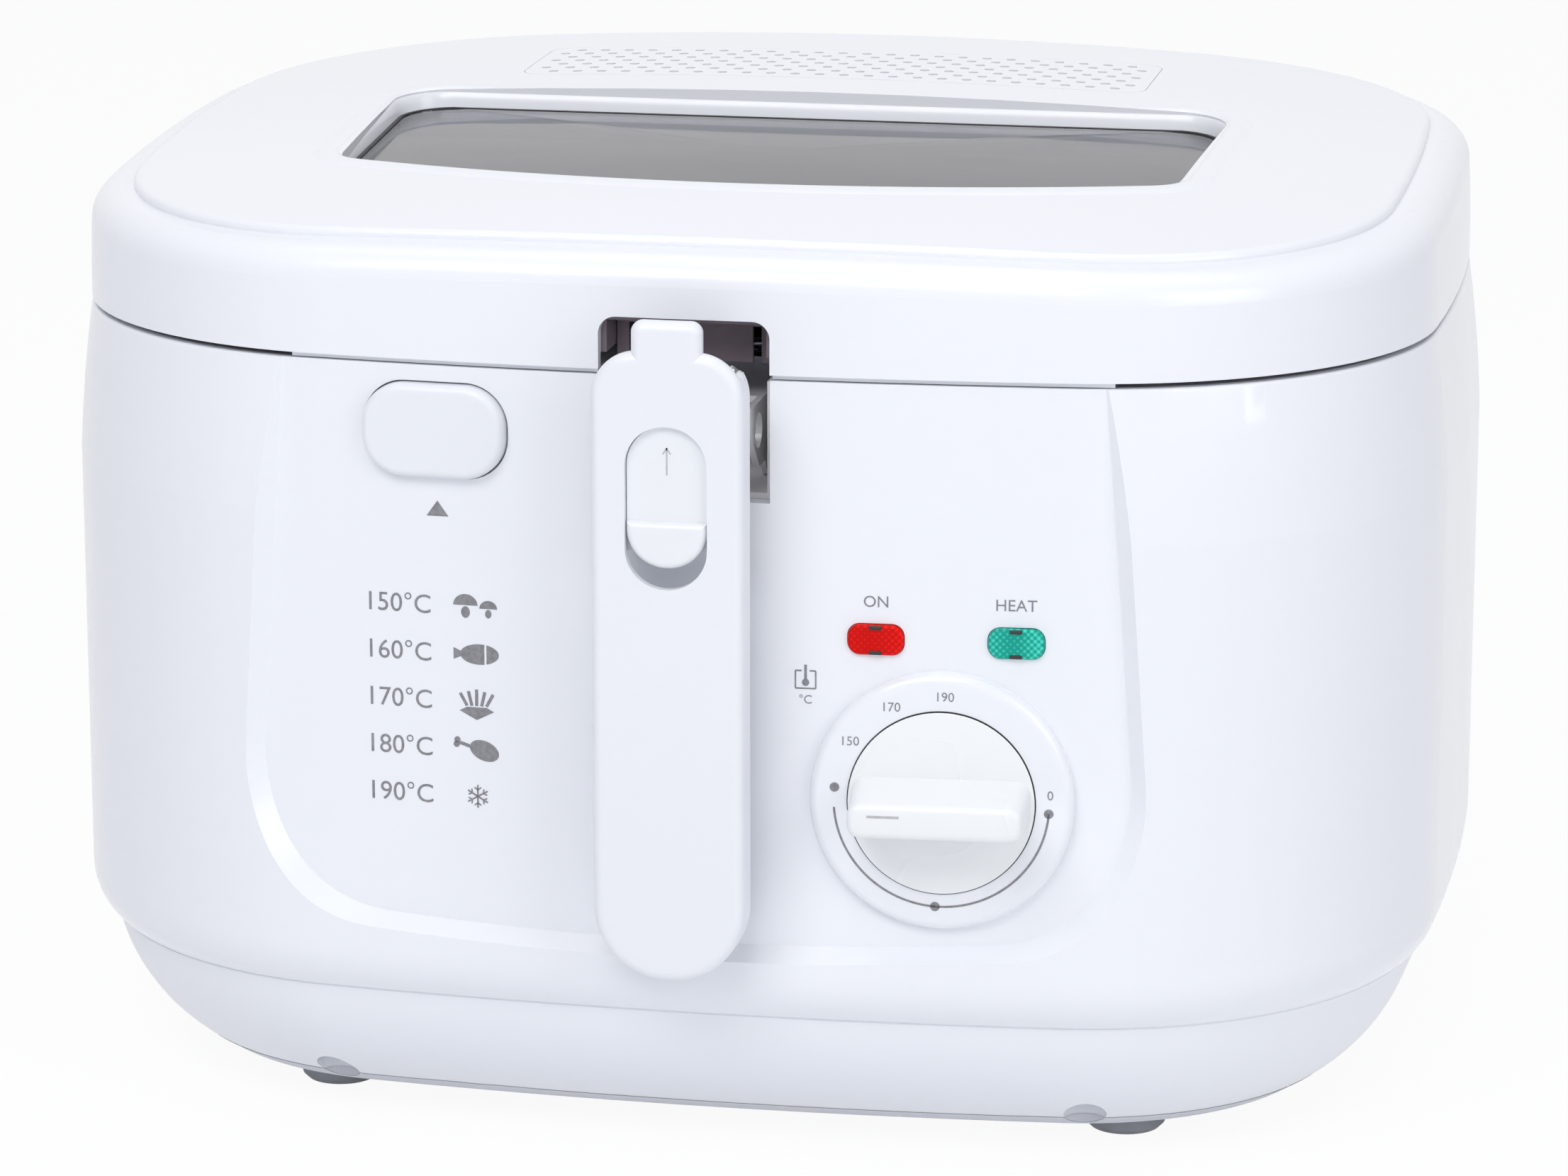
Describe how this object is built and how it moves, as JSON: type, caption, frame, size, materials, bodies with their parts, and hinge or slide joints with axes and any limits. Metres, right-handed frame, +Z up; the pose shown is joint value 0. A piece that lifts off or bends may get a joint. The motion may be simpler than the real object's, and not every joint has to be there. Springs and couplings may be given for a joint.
{
  "type": "deep fryer",
  "caption": "Compact white household deep fryer with a hinged window lid, lift-out wire basket on a folding handle, lid release button, temperature knob and signal lamps.",
  "frame": {"origin": "on the floor under the middle of the closed fryer, midway between the handle front and the hinge rear", "axes": "+X to the viewer's right seen from the front, +Y towards the lid hinge at the rear, +Z up"},
  "size_m": [0.33, 0.296, 0.2255],
  "materials": {
    "shell_white": "glossy cool white moulded plastic",
    "base_white": "semi-gloss white moulded plastic",
    "handle_white": "semi-gloss white moulded plastic",
    "slider_white": "semi-gloss white moulded plastic",
    "button_white": "semi-gloss white moulded plastic",
    "knob_white": "semi-gloss white moulded plastic",
    "rubber_grey": "matt grey rubber",
    "cord_rubber": "white soft bush",
    "tank_coating": "dark non-stick coating on steel",
    "silicone": "grey silicone",
    "element_steel": "oxidised steel tube",
    "sheet_steel": "bare sheet steel",
    "bracket_steel": "bright plated sheet steel",
    "screw_steel": "zinc plated",
    "pin_steel": "ground steel",
    "black_plastic": "moulded black plastic",
    "capillary_copper": "copper tube",
    "red_lens": "clear red prismatic lens",
    "green_lens": "clear green prismatic lens",
    "guide_brown": "dark heat-resistant plastic",
    "latch_plastic": "white acetal",
    "liner_aluminium": "satin aluminium sheet",
    "window": "clear flat glass",
    "filter_mesh": "grey fibre pad",
    "basket_wire": "tinned wire"
  },
  "bodies": {
    "housing": {"housing_shell": "shell_white", "base_tray": "base_white", "rubber_feet": "rubber_grey", "cord_gland": "cord_rubber", "oil_tank": "tank_coating", "tank_gasket": "silicone", "heating_element": "element_steel", "heat_shield": "sheet_steel", "latch_bracket": "sheet_steel", "latch_spring": "sheet_steel", "hinge_spring": "sheet_steel", "base_screws": "screw_steel", "tank_studs": "screw_steel", "latch_pin": "pin_steel", "hinge_pin": "pin_steel", "thermostat": "black_plastic", "lamp_holders": "black_plastic", "terminal_block": "black_plastic", "thermal_cutout": "black_plastic", "sensor_tube": "capillary_copper", "red_lens": "red_lens", "green_lens": "green_lens", "bracket_guide": "guide_brown"},
    "lid": {"lid_shell": "shell_white", "lid_hinge_arm": "shell_white", "lid_liner": "liner_aluminium", "lid_seal": "silicone", "lid_screws": "screw_steel", "window_glass": "window", "window_gasket": "silicone", "filter_grille": "shell_white", "filter_pad": "filter_mesh", "lid_catch": "latch_plastic", "lid_notch_liner": "guide_brown"},
    "button": {"release_button": "button_white"},
    "latch": {"latch_lever": "latch_plastic"},
    "basket": {"basket_rim": "basket_wire", "basket_front_net": "basket_wire", "basket_rear_net": "basket_wire", "basket_left_net": "basket_wire", "basket_right_net": "basket_wire", "basket_corner_nets": "basket_wire", "basket_floor_net": "basket_wire", "basket_legs": "basket_wire", "basket_bracket": "bracket_steel"},
    "handle": {"handle_shell": "handle_white", "handle_back": "handle_white", "handle_pin": "pin_steel", "handle_screws": "screw_steel"},
    "slider": {"handle_slider": "slider_white"},
    "knob": {"control_knob": "knob_white", "thermostat_shaft": "pin_steel"}
  },
  "joints": [
    {"name": "lid_hinge", "type": "hinge", "parent": "housing", "child": "lid", "pos_m": [0, 0.141, 0.184], "axis": [-1, 0, 0], "range_deg": [0, 82], "deforming": ["hinge_spring"]},
    {"name": "button_press", "type": "slide", "parent": "housing", "child": "button", "axis": [0.0683, 0.9977, 0], "range_m": [0, 0.0035], "stiffness_N_per_m": 400, "springref_m": -0.002},
    {"name": "latch_turn", "type": "hinge", "parent": "housing", "child": "latch", "pos_m": [-0.05666, -0.10941, 0.1483], "axis": [-0.9977, 0.0683, 0], "range_deg": [0, 10.7], "deforming": ["latch_spring"]},
    {"name": "basket_lift", "type": "slide", "parent": "housing", "child": "basket", "axis": [0, 0, 1], "range_m": [0, 0.016]},
    {"name": "handle_fold", "type": "hinge", "parent": "basket", "child": "handle", "pos_m": [0, -0.142, 0.189], "axis": [-1, 0, 0], "range_deg": [0, 90]},
    {"name": "slider_lock", "type": "slide", "parent": "handle", "child": "slider", "axis": [0, 0, -1], "range_m": [0, 0.0045], "stiffness_N_per_m": 150, "springref_m": -0.002},
    {"name": "knob_turn", "type": "hinge", "parent": "housing", "child": "knob", "pos_m": [0.0587, -0.12596, 0.09], "axis": [-0.0694, 0.9976, 0], "range_deg": [-180, 90]}
  ],
  "couplings": [
    {"joint": "latch_turn", "follows": "button_press", "rad_per_m": 53}
  ]
}
